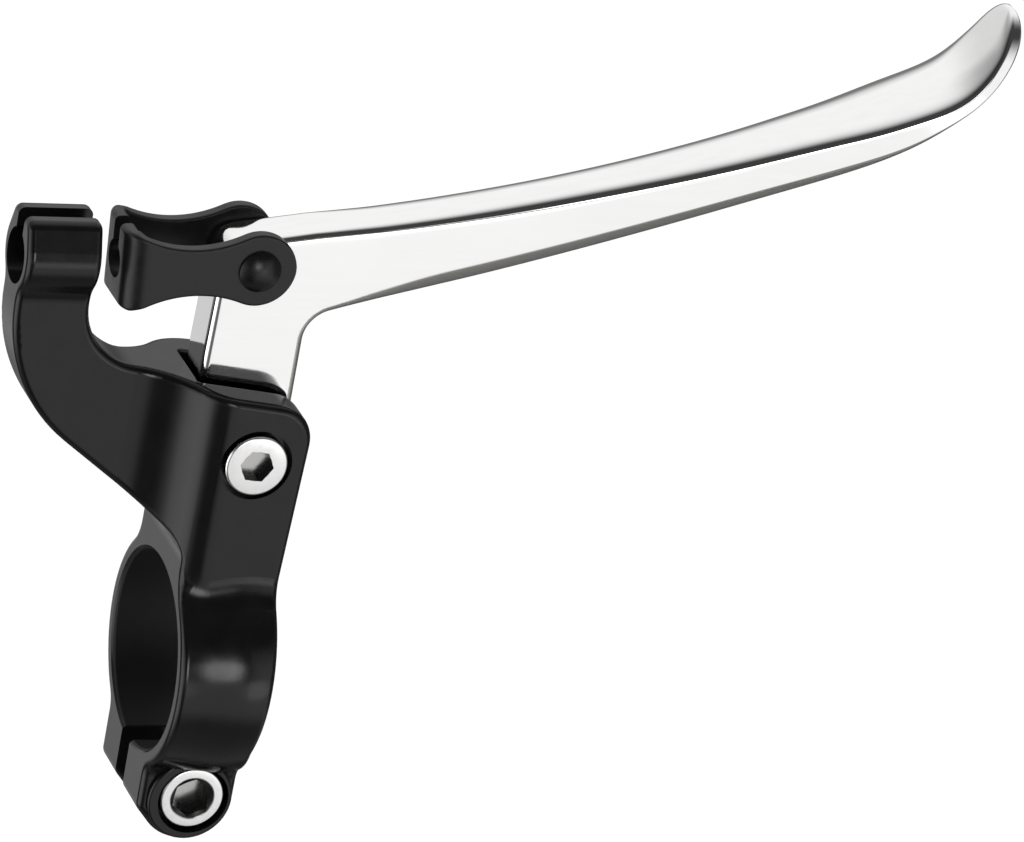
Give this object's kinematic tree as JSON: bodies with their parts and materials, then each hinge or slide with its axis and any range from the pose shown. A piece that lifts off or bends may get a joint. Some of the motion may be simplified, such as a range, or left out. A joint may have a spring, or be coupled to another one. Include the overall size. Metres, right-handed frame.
{
  "type": "bicycle brake lever",
  "caption": "Bicycle brake lever with a split bar clamp, a slotted casing stop on a curved arm, a polished blade on a fork pivot and a waisted link for the wire's head.",
  "frame": {"origin": "centre of the handlebar clamp's bore, below the pivot and the clamp bolt's line", "axes": "+X along the bar towards the blade's tip, +Y to the far cheek (the bolt heads face -Y), +Z from the bar up through the pivot"},
  "size_m": [0.1113, 0.0274, 0.101],
  "materials": {
    "black_casting": "gloss black coated aluminium casting",
    "polished_aluminium": "mirror-polished aluminium forging",
    "black_link": "satin black coated folded steel strip",
    "black_rivet": "semi-gloss black domed steel rivet",
    "bright_bolt": "bright plated steel",
    "bush_brass": "plain turned brass",
    "washer_plastic": "black nylon"
  },
  "bodies": {
    "bracket": {"bracket": "black_casting", "pivot_bolt": "bright_bolt", "clamp_bolt": "bright_bolt", "pivot_bush": "bush_brass", "near_washer": "washer_plastic", "far_washer": "washer_plastic"},
    "lever": {"lever_blade": "polished_aluminium"},
    "link": {"cable_link": "black_link", "link_pin": "black_rivet"}
  },
  "joints": [
    {"name": "lever_pivot", "type": "hinge", "parent": "bracket", "child": "lever", "pos_m": [0, 0, 0.0266], "axis": [0, 1, 0], "range_deg": [0, 35]},
    {"name": "link_swing", "type": "hinge", "parent": "lever", "child": "link", "pos_m": [-0.0022, 0, 0.0482], "axis": [0, 1, 0], "range_deg": [-25, 115]}
  ]
}
